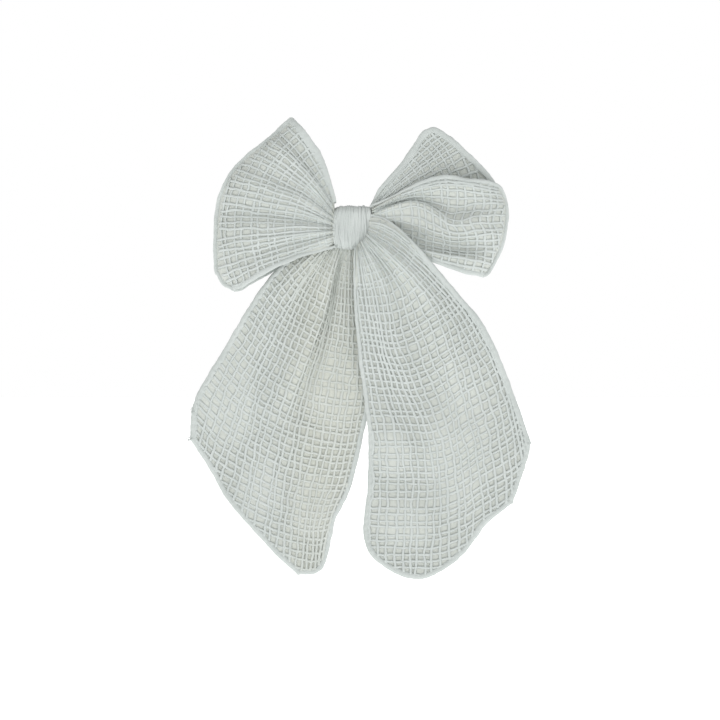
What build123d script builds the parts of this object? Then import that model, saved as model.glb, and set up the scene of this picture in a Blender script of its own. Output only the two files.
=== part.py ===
"""Hair bow of open-weave cotton gauze on a sprung hair clip.

Millimetres. +Z is up, +X is to the right as the bow is seen from the front, and the front faces -Y.
The origin is the centre of the clip's back face, which lies against the head.
"""

import os

from build123d import *

# ---------------------------------------------------------------- driving sizes
# hair clip
sheet = 0.7                 # thickness of the clip's steel sheet
arm_width = 8.0
tip_x = -24.0               # free end of the jaw
hinge_x = 13.0              # the pin's axis
tab_length = 11.0           # finger tab beyond the pin
tab_slope = 15.0            # degrees the upper tab leans away from the lower one
jaw_gap = 3.8               # clear space between the two arms
jaw_lip = 3.2               # height of the toothed lip at the lower arm's tip
tooth_pitch = 2.0
tooth_depth = 0.8
tooth_gaps = 3              # notches cut into the lip
pin_r = 0.8
pin_proud = 0.6             # the pin stands this far out of the lugs
pin_chamfer = 0.15
pin_clearance = 0.05
lug_r = 1.7                 # round lugs that carry the pin
lug_gap = 0.15              # side clearance between the two pairs of lugs
spring_r = 1.65             # outer radius of the coil
spring_wire = 0.5
spring_length = 4.6
grip_thickness = 0.5

# layers between the clip and the bow
ribbon = 0.4
felt = 1.0
felt_length = 30.0
felt_corner = 5.0
felt_width = 12.0

# knot
knot_left = -7.0
knot_right = 5.8
knot_top = 7.6
knot_bottom = -7.5
knot_front = -17.2
knot_corner = 3.4
wrap = 0.8                  # thickness of the wrap
core_gap = 0.7              # room for the gathering thread between the core and the wrap
core_corner = 2.2
thread = 0.5

# cloth: a net over a plain lining, turned in together at the edges
net = 0.6                   # one layer of the open-weave net
lining = 0.6                # the plain lining with its puff
layer_gap = 0.1             # air between two layers
hem = 2.0                   # width of a turned edge
clear = 0.2                 # space between the knot and the cloth beside it

upper_back = -(sheet + jaw_gap)
upper_front = upper_back - sheet
felt_back = upper_front - ribbon
felt_front = felt_back - felt
wrap_back = upper_back + ribbon + wrap
pin_y = -(sheet + jaw_gap / 2)
loop_left_x = knot_left - clear
loop_right_x = knot_right + clear
under_knot = knot_bottom - 3 * clear
reach = 80.0                # half the length of a cutting prism, past every outline

# ---------------------------------------------------------------- outlines, seen from the front (X, Z)
# each outline is a closed chain of runs: two points make a straight run, more make a smooth curve
left_loop_outline = [
    [(loop_left_x, 8.0), (-9.6, 21.5), (-14.5, 29.5), (-20.7, 36.9)],
    [(-20.7, 36.9), (-28.6, 29.9), (-39.7, 20.6), (-46.0, 7.8), (-46.8, -12.2), (-40.5, -21.1)],
    [(-40.5, -21.1), (-34.5, -18.6), (-20.1, -10.9), (loop_left_x, -6.7)],
    [(loop_left_x, -6.7), (loop_left_x, 8.0)],
]
right_loop_front_outline = [
    [(loop_right_x, 7.0), (12.9, 10.8), (23.1, 15.9), (30.8, 17.2), (37.6, 15.9), (48.7, 14.2)],
    [(48.7, 14.2), (51.6, 6.1), (49.5, -6.2), (43.5, -16.6)],
    [(43.5, -16.6), (34.2, -14.7), (18.0, -8.5), (loop_right_x, -5.0)],
    [(loop_right_x, -5.0), (loop_right_x, 7.0)],
]
right_loop_back_outline = [
    [(loop_right_x, 7.4), (8.7, 13.8), (15.5, 21.8), (21.4, 30.3), (27.6, 33.5)],
    [(27.6, 33.5), (36.7, 26.5), (45.7, 17.2), (51.6, 6.1), (49.0, -7.0), (41.0, -13.0)],
    [(41.0, -13.0), (18.0, -8.0), (loop_right_x, -5.0)],
    [(loop_right_x, -5.0), (loop_right_x, 7.4)],
]
left_tail_outline = [
    [(loop_left_x, 0.0), (-16.0, -6.0), (-26.9, -14.5), (-35.4, -26.3), (-44.7, -41.6), (-53.6, -57.0),
     (-55.3, -70.5)],
    [(-55.3, -70.5), (-49.0, -80.5), (-42.2, -92.1), (-28.6, -107.4), (-19.0, -116.6)],
    [(-19.0, -116.6), (-10.7, -114.0), (-6.5, -98.0), (-1.4, -87.0), (2.9, -69.1), (6.5, -50.0),
     (5.0, -28.0), (1.5, under_knot)],
    [(1.5, under_knot), (loop_left_x, under_knot)],
    [(loop_left_x, under_knot), (loop_left_x, 0.0)],
]
right_tail_outline = [
    [(loop_right_x, 4.3), (10.8, 2.7), (17.2, -2.4), (26.1, -12.0), (35.4, -22.9), (43.5, -33.1),
     (50.3, -47.5), (59.2, -71.8)],
    [(59.2, -71.8), (57.0, -80.2), (52.8, -92.1)],
    [(52.8, -92.1), (44.3, -98.9), (35.8, -109.7), (22.6, -117.3), (9.9, -113.3), (3.3, -104.0),
     (4.4, -85.3), (4.5, -67.7), (1.4, -42.8), (-0.3, -21.6), (0.0, under_knot)],
    [(0.0, under_knot), (loop_right_x, under_knot)],
    [(loop_right_x, under_knot), (loop_right_x, 4.3)],
]

# ---------------------------------------------------------------- loops, seen from above (X, Y)
# a loop leaves the knot in two panels, which meet in a round fold at its outer end
left_loop_front_line = [(loop_left_x, -13.6), (-18.0, -17.2), (-31.0, -19.2), (-42.0, -17.2), (-47.2, -13.4)]
left_loop_back_line = [(loop_left_x, -10.8), (-20.0, -10.0), (-36.0, -9.7), (-45.0, -10.0), (-47.2, -10.6)]
right_loop_front_line = [(loop_right_x, -13.6), (20.0, -14.4), (37.0, -18.0), (48.0, -15.9), (51.6, -13.2)]
right_loop_back_line = [(loop_right_x, -10.8), (22.0, -9.6), (40.0, -9.2), (49.0, -9.8), (51.6, -10.4)]

# ---------------------------------------------------------------- tails, seen from the side (Y, Z)
left_tail_drape = [(-8.4, 1.0), (-7.9, -14.0), (-6.4, -40.0), (-4.6, -80.0), (-3.9, -118.0)]
right_tail_drape = [(-16.2, 5.0), (-17.4, -10.0), (-14.6, -26.0), (-10.6, -50.0), (-8.2, -84.0),
                    (-7.2, -118.0)]


def outline_sketch(runs):
    """A closed chain of runs, filled."""
    with BuildSketch() as outline:
        with BuildLine():
            for run in runs:
                if len(run) == 2:
                    Line(*run)
                else:
                    Spline(*run)
        make_face()
    return outline.sketch


def inset_runs(runs, distance):
    """The same chain with every point moved inwards, so that its runs lie that far inside."""
    corners = [Vector(*point) for run in runs for point in run[:-1]]
    turn = sum(a.X * b.Y - b.X * a.Y for a, b in zip(corners, corners[1:] + corners[:1]))
    inward_turn = 90 if turn > 0 else -90
    moved = []
    for before, here, after in zip(corners[-1:] + corners[:-1], corners, corners[1:] + corners[:1]):
        normal_in = (here - before).normalized().rotate(Axis.Z, inward_turn)
        normal_out = (after - here).normalized().rotate(Axis.Z, inward_turn)
        moved.append(here + (normal_in + normal_out) * (distance / (1 + normal_in.dot(normal_out))))
    moved.append(moved[0])
    inset = []
    start = 0
    for run in runs:
        end = start + len(run) - 1
        inset.append([(point.X, point.Y) for point in moved[start:end + 1]])
        start = end
    return inset


def middle_sketch(runs):
    """The outline without its turned edge."""
    return outline_sketch(inset_runs(runs, hem))


def edge_sketch(runs):
    """The turned edge alone."""
    with BuildSketch() as edge_band:
        add(outline_sketch(runs))
        add(middle_sketch(runs), mode=Mode.SUBTRACT)
    return edge_band.sketch


def band_between(line_a, line_b):
    """The face between two open curves that run the same way."""
    return outline_sketch([line_a, [line_a[-1], line_b[-1]], line_b[::-1], [line_b[0], line_a[0]]])


def tail_piece(front_view, drape, front, back):
    """A piece of a tail between two depths beside its drape line, cut to its front view."""
    front_line = [(y + front, z) for y, z in drape]
    back_line = [(y + back, z) for y, z in drape]
    with BuildPart() as piece:
        with BuildSketch(Plane.YZ.offset(-reach)):
            add(band_between(front_line, back_line))
        extrude(amount=2 * reach)
        with BuildSketch(Plane.XZ):
            add(front_view)
        extrude(amount=reach, mode=Mode.INTERSECT)
    return piece


def loop_piece(front_view, line, inwards, outer_depth, inner_depth):
    """A piece of a loop's panel between two depths under its outer face, cut to its front view."""
    outer_line = [(x, y + inwards * outer_depth) for x, y in line]
    inner_line = [(x, y + inwards * inner_depth) for x, y in line]
    with BuildPart() as piece:
        with BuildSketch(Plane.XY.offset(-reach)):
            add(band_between(outer_line, inner_line))
        extrude(amount=2 * reach)
        with BuildSketch(Plane.XZ):
            add(front_view)
        extrude(amount=reach, mode=Mode.INTERSECT)
    return piece


def ring_section(low_y, high_y, low_z, high_z, corner):
    """A rounded rectangle given by its four sides."""
    with BuildSketch() as section:
        with Locations(((low_y + high_y) / 2, (low_z + high_z) / 2)):
            RectangleRounded(high_y - low_y, high_z - low_z, corner)
    return section.sketch


def lug_sketch(root_y):
    """A lug's section: a round eye at the pin, joined to its arm's face at root_y."""
    with BuildSketch() as eye:
        with Locations((hinge_x, pin_y)):
            Circle(lug_r)
        with Locations((hinge_x, (pin_y + root_y) / 2)):
            Rectangle(2 * lug_r, abs(root_y - pin_y))
        with Locations((hinge_x, pin_y)):
            Circle(pin_r + pin_clearance, mode=Mode.SUBTRACT)
    return eye.sketch


def save(piece, name):
    piece.part.label = name
    export_step(piece.part, f"parts/{name}.step")


os.makedirs("parts", exist_ok=True)

# ---------------------------------------------------------------- loops
loops = {
    "left_loop_front": (left_loop_outline, left_loop_front_line, 1),
    "left_loop_back": (left_loop_outline, left_loop_back_line, -1),
    "right_loop_front": (right_loop_front_outline, right_loop_front_line, 1),
    "right_loop_back": (right_loop_back_outline, right_loop_back_line, -1),
}
panel_depth = net + layer_gap + lining
for name, (outline, line, inwards) in loops.items():
    middle = middle_sketch(outline)
    save(loop_piece(middle, line, inwards, 0, net), name)
    save(loop_piece(middle, line, inwards, net + layer_gap, panel_depth), name + "_lining")
    save(loop_piece(edge_sketch(outline), line, inwards, 0, panel_depth), name + "_hem")

# ---------------------------------------------------------------- tails
# a tail has a net on both sides of its lining
half_lining = lining / 2
half_tail = half_lining + layer_gap + net
tails = {
    "left_tail": (left_tail_outline, left_tail_drape),
    "right_tail": (right_tail_outline, right_tail_drape),
}
for name, (outline, drape) in tails.items():
    middle = middle_sketch(outline)
    save(tail_piece(middle, drape, -half_tail, net - half_tail), name + "_front")
    save(tail_piece(middle, drape, -half_lining, half_lining), name + "_lining")
    save(tail_piece(middle, drape, half_tail - net, half_tail), name + "_back")
    save(tail_piece(edge_sketch(outline), drape, -half_tail, half_tail), name + "_hem")

# ---------------------------------------------------------------- knot
knot_width = knot_right - knot_left
with BuildPart() as centre_knot_wrap:
    with BuildSketch(Plane.YZ.offset(knot_left)):
        add(ring_section(knot_front, wrap_back, knot_bottom, knot_top, knot_corner))
        offset(amount=-wrap, mode=Mode.SUBTRACT)
    extrude(amount=knot_width)
save(centre_knot_wrap, "centre_knot_wrap")

core_front = knot_front + wrap + core_gap
core_back = felt_front - thread - clear
core_low = knot_bottom + wrap + core_gap
core_high = knot_top - wrap - core_gap
with BuildPart() as gathered_core:
    with BuildSketch(Plane.YZ.offset(knot_left)):
        add(ring_section(core_front, core_back, core_low, core_high, core_corner))
    extrude(amount=knot_width)
save(gathered_core, "gathered_core")

with BuildSketch() as thread_turn:
    add(ring_section(core_front, core_back, core_low, core_high, core_corner))
    offset(amount=thread, mode=Mode.REPLACE)
    add(ring_section(core_front, core_back, core_low, core_high, core_corner), mode=Mode.SUBTRACT)
with BuildPart() as gathering_thread:
    for x in (-2.2, -0.6, 1.0):
        with BuildSketch(Plane.YZ.offset(x)):
            add(thread_turn.sketch)
        extrude(amount=thread)
save(gathering_thread, "gathering_thread")

stitch_width = 0.4
stitch_length = 2.0
stitch_slant = 60
stitch_y = felt_front - 2.0
with BuildPart() as wrap_stitches:
    for x in [-4.6, -2.2, 0.2, 2.6]:
        with BuildSketch(Plane.XY.offset(knot_bottom - stitch_width)):
            with Locations((x, stitch_y)):
                SlotOverall(stitch_length, stitch_width, rotation=stitch_slant)
        extrude(amount=stitch_width)
save(wrap_stitches, "wrap_stitches")

# ---------------------------------------------------------------- felt pad
with BuildPart() as felt_pad:
    with BuildSketch(Plane.XZ.offset(-felt_back)):
        RectangleRounded(felt_length, felt_width, felt_corner)
    extrude(amount=felt)
save(felt_pad, "felt_pad")

# ---------------------------------------------------------------- clip
upper_lug_z = arm_width / 2 - sheet
lower_lug_z = upper_lug_z - sheet - lug_gap
tab_start = hinge_x + lug_r
tip_corner = 2.5

with BuildPart() as clip_upper_arm:
    with BuildSketch(Plane.XY.offset(-arm_width / 2)):
        with BuildLine():
            tip = (tip_x, upper_back)
            bend = (tab_start, upper_back)
            Line(tip, bend)
            tab_inside = PolarLine(bend, tab_length, -tab_slope)
            tab_end = PolarLine(tab_inside @ 1, sheet, -tab_slope - 90)
            Line(tab_end @ 1, (tab_start, upper_front))
            Line((tab_start, upper_front), (tip_x, upper_front))
            Line((tip_x, upper_front), tip)
        make_face()
    extrude(amount=arm_width)
    for low_z in (upper_lug_z, -upper_lug_z - sheet):
        with BuildSketch(Plane.XY.offset(low_z)):
            add(lug_sketch(upper_back))
        extrude(amount=sheet)
    fillet(clip_upper_arm.edges().filter_by(Axis.Y).group_by(Axis.X)[0], radius=tip_corner)
save(clip_upper_arm, "clip_upper_arm")

lower_width = arm_width - 2 * sheet
lower_end = tab_start + tab_length
tab_corner = 2.5
with BuildPart() as clip_lower_arm:
    with BuildSketch(Plane.XZ):
        with Locations(((tip_x + lower_end) / 2, 0)):
            Rectangle(lower_end - tip_x, lower_width)
    extrude(amount=sheet)
    with BuildSketch(Plane.XZ):
        with Locations((tip_x + sheet / 2, 0)):
            Rectangle(sheet, lower_width)
    extrude(amount=jaw_lip)
    with BuildSketch(Plane.YZ.offset(tip_x - sheet)):
        with Locations((-jaw_lip, 0)):
            with GridLocations(tooth_pitch, tooth_pitch, 1, tooth_gaps):
                Rectangle(2 * tooth_depth, tooth_pitch / 2)
    extrude(amount=3 * sheet, mode=Mode.SUBTRACT)
    for low_z in (lower_lug_z, -lower_lug_z - sheet):
        with BuildSketch(Plane.XY.offset(low_z)):
            add(lug_sketch(-sheet))
        extrude(amount=sheet)
    fillet(clip_lower_arm.edges().filter_by(Axis.Y).group_by(Axis.X)[-1], radius=tab_corner)
save(clip_lower_arm, "clip_lower_arm")

pin_length = arm_width + 2 * pin_proud
with BuildPart() as clip_hinge_pin:
    with BuildSketch(Plane.XY.offset(-pin_length / 2)):
        with Locations((hinge_x, pin_y)):
            Circle(pin_r)
    extrude(amount=pin_length)
    chamfer(clip_hinge_pin.edges(), length=pin_chamfer)
save(clip_hinge_pin, "clip_hinge_pin")

# the spring's solid is a sleeve of the coil's size
with BuildPart() as clip_torsion_spring:
    with BuildSketch(Plane.XY.offset(-spring_length / 2)):
        with Locations((hinge_x, pin_y)):
            Circle(spring_r)
            Circle(spring_r - spring_wire, mode=Mode.SUBTRACT)
    extrude(amount=spring_length)
save(clip_torsion_spring, "clip_torsion_spring")

# the ribbon runs along the upper arm's front, round its tip and back along its inner face
ribbon_width = 7.4
ribbon_end_x = 9.0
with BuildPart() as clip_ribbon_lining:
    with BuildSketch(Plane.XY.offset(-ribbon_width / 2)):
        with BuildLine():
            Polyline(
                (ribbon_end_x, upper_front),
                (tip_x, upper_front),
                (tip_x, upper_back),
                (ribbon_end_x, upper_back),
                (ribbon_end_x, upper_back + ribbon),
                (tip_x - ribbon, upper_back + ribbon),
                (tip_x - ribbon, upper_front - ribbon),
                (ribbon_end_x, upper_front - ribbon),
                close=True,
            )
        make_face()
    extrude(amount=ribbon_width)
save(clip_ribbon_lining, "clip_ribbon_lining")

grip_start = -22.7
grip_end = -9.0
grip_width = 5.4
grip_corner = 1.0
with BuildPart() as clip_grip_pad:
    with BuildSketch(Plane.XZ.offset(sheet)):
        with Locations(((grip_start + grip_end) / 2, 0)):
            RectangleRounded(grip_end - grip_start, grip_width, grip_corner)
    extrude(amount=grip_thickness)
save(clip_grip_pad, "clip_grip_pad")
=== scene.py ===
import math

import bpy
import numpy as np
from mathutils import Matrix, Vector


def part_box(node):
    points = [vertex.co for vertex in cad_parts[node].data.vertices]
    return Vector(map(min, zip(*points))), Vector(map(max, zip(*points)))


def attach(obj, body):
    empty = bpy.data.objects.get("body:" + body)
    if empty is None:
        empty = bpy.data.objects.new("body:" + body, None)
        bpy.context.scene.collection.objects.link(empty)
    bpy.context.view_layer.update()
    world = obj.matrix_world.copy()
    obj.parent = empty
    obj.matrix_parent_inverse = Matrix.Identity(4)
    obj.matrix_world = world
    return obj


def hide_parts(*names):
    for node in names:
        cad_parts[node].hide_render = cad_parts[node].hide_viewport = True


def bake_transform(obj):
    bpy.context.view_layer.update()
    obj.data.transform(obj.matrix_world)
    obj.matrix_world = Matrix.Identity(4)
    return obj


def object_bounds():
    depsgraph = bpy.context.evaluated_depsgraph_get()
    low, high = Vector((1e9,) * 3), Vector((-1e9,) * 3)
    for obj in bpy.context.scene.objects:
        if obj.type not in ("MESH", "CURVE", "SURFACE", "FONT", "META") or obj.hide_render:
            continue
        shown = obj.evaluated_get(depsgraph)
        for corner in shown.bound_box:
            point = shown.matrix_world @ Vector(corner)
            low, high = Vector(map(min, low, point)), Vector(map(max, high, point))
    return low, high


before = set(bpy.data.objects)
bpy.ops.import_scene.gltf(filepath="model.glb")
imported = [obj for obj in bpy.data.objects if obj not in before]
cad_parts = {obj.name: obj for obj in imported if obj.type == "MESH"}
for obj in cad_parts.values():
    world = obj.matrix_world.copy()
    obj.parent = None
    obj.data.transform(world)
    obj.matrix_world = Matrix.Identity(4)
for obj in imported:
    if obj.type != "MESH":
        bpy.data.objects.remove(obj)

# Hair bow of open net over a plain lining, on a sprung clip. Lengths below are millimetres in the
# part's frame and become metres when a mesh is made.
MM = 0.001
cad_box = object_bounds()
rng = np.random.default_rng(7)


def node_box(node):
    """A CAD node's two corners, in millimetres."""
    return [np.array(corner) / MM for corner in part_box(node)]


# ---------------------------------------------------------------- curves and noise
FRONT = np.array([0.0, -1.0, 0.0])


def columns(*parts):
    """Points from their coordinates, where a coordinate may be one number for all of them."""
    return np.stack(np.broadcast_arrays(*parts), axis=-1)


def lengths_along(path):
    """Each point's distance from a polyline's start, measured along it."""
    return np.concatenate([[0.0], np.cumsum(np.linalg.norm(np.diff(path, axis=0), axis=1))])


def resample(path, count):
    """Evenly spaced points along a polyline."""
    along = lengths_along(path)
    wanted = np.linspace(0.0, along[-1], count)
    return np.stack([np.interp(wanted, along, values) for values in path.T], axis=1)


def pairs(v, s):
    """Every pair of two sets of values, row by row."""
    return [values.ravel() for values in np.meshgrid(v, s)]


def smooth_curve(points, step):
    """Evenly spaced points on a smooth curve through the given ones."""
    knots = np.asarray(points, float)
    knots = np.vstack([2 * knots[0] - knots[1], knots, 2 * knots[-1] - knots[-2]])
    t = np.linspace(0.0, 1.0, 24, endpoint=False)[:, None]
    spans = []
    for a, b, c, d in zip(knots[:-3], knots[1:-2], knots[2:-1], knots[3:]):
        spans.append(0.5 * (2 * b + (c - a) * t + (2 * a - 5 * b + 4 * c - d) * t**2
                            + (3 * b - a - 3 * c + d) * t**3))
    path = np.vstack(spans + [knots[-2][None]])
    length = np.linalg.norm(np.diff(path, axis=0), axis=1).sum()
    return resample(path, max(3, int(length / step) + 1))


def outline_path(runs):
    """A closed chain of runs as one path; two points make a straight run, more a smooth curve."""
    return np.vstack([smooth_curve(run, step=0.8)[:-1] for run in runs])


def smoothstep(low, high, value):
    t = np.clip((value - low) / (high - low), 0.0, 1.0)
    return t * t * (3.0 - 2.0 * t)


def wander(value, seed, scale):
    """Smooth one-dimensional noise of about -1 to 1, the same for the same seed."""
    value = np.asarray(value, float)
    total = np.zeros_like(value)
    for octave in range(3):
        table = np.random.default_rng(seed * 31 + octave).uniform(-1.0, 1.0, 512)
        place = value / scale * 2**octave + 97.3 * octave
        low = np.floor(place).astype(int)
        t = smoothstep(0.0, 1.0, place - low)
        total += (table[low % 512] * (1.0 - t) + table[(low + 1) % 512] * t) * 0.55**octave
    return total / 1.6


def wander_2d(x, z, seed, scale):
    """Smooth noise over a plane, of about -1 to 1."""
    table = np.random.default_rng(seed).uniform(-1.0, 1.0, (64, 64))
    px = np.asarray(x, float) / scale + 32.0
    pz = np.asarray(z, float) / scale + 32.0
    ix = np.floor(px).astype(int)
    iz = np.floor(pz).astype(int)
    tx = smoothstep(0.0, 1.0, px - ix)
    tz = smoothstep(0.0, 1.0, pz - iz)
    a = table[ix % 64, iz % 64] * (1 - tx) + table[(ix + 1) % 64, iz % 64] * tx
    b = table[ix % 64, (iz + 1) % 64] * (1 - tx) + table[(ix + 1) % 64, (iz + 1) % 64] * tx
    return a * (1 - tz) + b * tz


def unit(vectors):
    return vectors / np.maximum(np.linalg.norm(vectors, axis=-1, keepdims=True), 1e-9)


def gap_squared(start, end, x, z):
    """Squared distance from points to the straight stretch between two points."""
    (ax, az), (bx, bz) = start, end
    length = max((bx - ax) ** 2 + (bz - az) ** 2, 1e-12)
    t = np.clip(((x - ax) * (bx - ax) + (z - az) * (bz - az)) / length, 0.0, 1.0)
    return (x - ax - t * (bx - ax)) ** 2 + (z - az - t * (bz - az)) ** 2


def depth_inside(path, x, z):
    """Distance from points to a closed path, positive inside it."""
    x = np.asarray(x, float).ravel()
    z = np.asarray(z, float).ravel()
    inside = np.zeros(x.shape, bool)
    nearest = np.full(x.shape, 1e9)
    for (ax, az), (bx, bz) in zip(path, np.roll(path, -1, axis=0)):
        crosses = (az > z) != (bz > z)
        if bz != az:
            inside ^= crosses & (x < (bx - ax) * (z - az) / (bz - az) + ax)
        nearest = np.minimum(nearest, gap_squared((ax, az), (bx, bz), x, z))
    return np.where(inside, 1.0, -1.0) * np.sqrt(nearest)


def pull_inside(path, x, z, inset):
    """Moves points that are past a closed path's inset back onto it."""
    depth = depth_inside(path, x, z)
    ahead = np.roll(path, -1, axis=0) - path
    for index in np.flatnonzero(depth < inset):
        here = np.array([x[index], z[index]])
        t = np.clip(((here - path) * ahead).sum(axis=1) / np.maximum((ahead**2).sum(axis=1), 1e-12), 0.0, 1.0)
        feet = path + t[:, None] * ahead
        foot = feet[np.argmin(((feet - here) ** 2).sum(axis=1))]
        inward = unit(here - foot) * (1.0 if depth[index] > 0 else -1.0)
        x[index], z[index] = foot + inward * inset
    return x, z


def distance_to_line(line, x, z):
    """Distance from points to an open line."""
    nearest = np.full(np.shape(x), 1e9)
    for start, end in zip(line[:-1], line[1:]):
        nearest = np.minimum(nearest, gap_squared(start, end, x, z))
    return np.sqrt(nearest)


# ---------------------------------------------------------------- meshes
def make_object(name, points, faces, material):
    """A smooth-shaded mesh object from points in millimetres and faces of four corners."""
    mesh = bpy.data.meshes.new(name)
    points = np.asarray(points, np.float32) * MM
    faces = np.asarray(faces, np.int32)
    mesh.vertices.add(len(points))
    mesh.vertices.foreach_set("co", points.ravel())
    mesh.loops.add(faces.size)
    mesh.loops.foreach_set("vertex_index", faces.ravel())
    mesh.polygons.add(len(faces))
    mesh.polygons.foreach_set("loop_start", np.arange(0, faces.size, faces.shape[1], dtype=np.int32))
    mesh.polygons.foreach_set("use_smooth", np.ones(len(faces), bool))
    mesh.update(calc_edges=True)
    mesh.validate()
    obj = bpy.data.objects.new(name, mesh)
    bpy.context.scene.collection.objects.link(obj)
    mesh.materials.append(material)
    return obj


class Bundle:
    """Tubes gathered into one mesh."""

    def __init__(self, sides):
        self.sides = sides
        self.points = []
        self.faces = []
        self.count = 0

    def add(self, path, normal, width, thickness, closed=False):
        """One tube of elliptical section along a path. normal is the direction of its thickness."""
        count = len(path)
        if closed:
            tangent = unit(np.roll(path, -1, axis=0) - np.roll(path, 1, axis=0))
        else:
            tangent = unit(np.gradient(path, axis=0))
        across = unit(np.cross(tangent, normal))
        up = unit(np.cross(across, tangent))
        angle = np.linspace(0.0, 2 * np.pi, self.sides, endpoint=False)
        width = np.broadcast_to(np.asarray(width, float), (count,))[:, None, None] / 2
        thickness = np.broadcast_to(np.asarray(thickness, float), (count,))[:, None, None] / 2
        ring = (path[:, None, :]
                + width * np.cos(angle)[None, :, None] * across[:, None, :]
                + thickness * np.sin(angle)[None, :, None] * up[:, None, :])
        self.points.append(ring.reshape(-1, 3))
        rows = np.arange(count if closed else count - 1)[:, None]
        here = np.arange(self.sides)[None, :]
        there = (here + 1) % self.sides
        next_row = (rows + 1) % count
        quads = np.stack([rows * self.sides + here, rows * self.sides + there,
                          next_row * self.sides + there, next_row * self.sides + here], axis=-1)
        self.faces.append(quads.reshape(-1, 4)[:, ::-1] + self.count)
        self.count += count * self.sides
        if not closed:
            self.cap(path[0], 0)
            self.cap(path[-1], (count - 1) * self.sides)

    def cap(self, centre, first):
        """Closes a tube's end with a fan of four-cornered faces."""
        ring = self.count - len(self.points[-1]) + first + np.arange(self.sides)
        if first:
            ring = ring[::-1]
        half = self.sides // 2
        for k in range(half - 1):
            self.faces.append(np.array([[ring[k], ring[k + 1], ring[-k - 2], ring[-k - 1]]]))

    def make(self, name, material):
        return make_object(name, np.vstack(self.points), np.vstack(self.faces), material)


def grid_faces(rows, columns, close_rows=False, close_columns=False):
    """Faces of a grid of points stored row by row."""
    r = np.arange(rows if close_rows else rows - 1)[:, None]
    c = np.arange(columns if close_columns else columns - 1)[None, :]
    r2 = (r + 1) % rows
    c2 = (c + 1) % columns
    return np.stack([r * columns + c, r * columns + c2, r2 * columns + c2, r2 * columns + c],
                    axis=-1).reshape(-1, 4)


# ---------------------------------------------------------------- materials
CREAM_FROM = -0.030         # the left tail turns creamier from here in X, in metres
CREAM_FULL = -0.012


class Look:
    """A Principled material and the procedural nodes that feed it."""

    def __init__(self, name, rough, sheen=0.0, metallic=0.0):
        self.material = bpy.data.materials.new(name)
        self.material.use_nodes = True
        self.tree = self.material.node_tree
        self.shader = self.tree.nodes["Principled BSDF"].inputs
        self.shader["Roughness"].default_value = rough
        self.shader["Metallic"].default_value = metallic
        if sheen:
            self.shader["Sheen Weight"].default_value = sheen
            self.shader["Sheen Roughness"].default_value = 0.6
        self.place = self.tree.nodes.new("ShaderNodeTexCoord").outputs["Object"]

    def node(self, kind, values=(), links=(), **settings):
        """Adds a node, with values set on its inputs and sockets linked to them."""
        node = self.tree.nodes.new("ShaderNode" + kind)
        for key, setting in settings.items():
            setattr(node, key, setting)
        for key, value in dict(values).items():
            node.inputs[key].default_value = value
        for key, socket in dict(links).items():
            self.tree.links.new(socket, node.inputs[key])
        return node.outputs

    def noise(self, scale, detail=3.0, rough=0.55, place=None):
        return self.node("TexNoise", {"Scale": scale, "Detail": detail, "Roughness": rough},
                         {"Vector": place or self.place})["Fac"]

    def ramp(self, fac, *stops):
        return ramp(self.tree, fac, *stops)

    def product(self, a, b):
        return self.node("Mix", {"Factor": 1.0}, {"A": a, "B": b}, data_type="RGBA",
                         blend_type="MULTIPLY")["Result"]

    def creamed(self, tone):
        """Warms a colour towards the bow's middle, where the left tail's cloth is creamier."""
        axes = self.node("SeparateXYZ", links={"Vector": self.place})
        share = self.node("MapRange", {"From Min": CREAM_FROM, "From Max": CREAM_FULL},
                          {"Value": axes["X"]}, interpolation_type="SMOOTHSTEP")["Result"]
        return self.product(tone, self.ramp(share, (0.0, (1.0, 1.0, 1.0)), (1.0, (1.02, 1.004, 0.972))))

    def colour(self, tone, shade=None):
        self.tree.links.new(self.product(tone, shade) if shade else tone, self.shader["Base Color"])

    def bump(self, *layers):
        """Stacks bumps, each a (height socket, distance in metres)."""
        normal = None
        for height, distance in layers:
            links = {"Height": height} if normal is None else {"Height": height, "Normal": normal}
            normal = self.node("Bump", {"Strength": 1.0, "Distance": distance}, links)["Normal"]
        self.tree.links.new(normal, self.shader["Normal"])


def ramp(tree, fac, *stops):
    """Colours at places along a value from 0 to 1."""
    node = tree.nodes.new("ShaderNodeValToRGB")
    while len(node.color_ramp.elements) < len(stops):
        node.color_ramp.elements.new(0.5)
    for element, (position, colour) in zip(node.color_ramp.elements, stops):
        element.position = position
        element.color = (*colour, 1.0)
    tree.links.new(fac, node.inputs["Fac"])
    return node.outputs["Color"]


def cotton(name, low, high, fibre_scale=3200.0, fuzz=0.00006, sheen=0.25, cream=False):
    """Spun cotton: fine fibres, slubs and a little variation of colour."""
    look = Look(name, 0.95, sheen)
    blotch = look.noise(90.0)
    fibre = look.noise(fibre_scale, 4.0, 0.65)
    tone = look.ramp(blotch, (0.3, low), (0.7, high))
    if cream:
        tone = look.creamed(tone)
    look.colour(tone, look.ramp(fibre, (0.25, (0.90, 0.90, 0.90)), (0.7, (1.0, 1.0, 1.0))))
    look.bump((fibre, fuzz))
    return look.material


def voile(name, low, high, pitch=0.00045, cream=False):
    """Plain fine weave: two crossed waves with uneven yarns."""
    look = Look(name, 0.92, 0.2)
    wave = {"Scale": 0.314 / pitch, "Distortion": 1.6, "Detail": 2.0, "Detail Scale": 2.0}
    yarns = [look.node("TexWave", wave, {"Vector": look.place}, bands_direction=axis)["Fac"]
             for axis in ("X", "Z")]
    blotch = look.noise(60.0, 4.0)
    fine = look.noise(2400.0)
    tone = look.ramp(blotch, (0.3, low), (0.7, high))
    if cream:
        tone = look.creamed(tone)
    look.colour(tone, look.ramp(fine, (0.3, (0.93, 0.93, 0.93)), (0.7, (1.0, 1.0, 1.0))))
    look.bump((yarns[0], 0.00003), (yarns[1], 0.00003), (fine, 0.00004))
    return look.material


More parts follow.
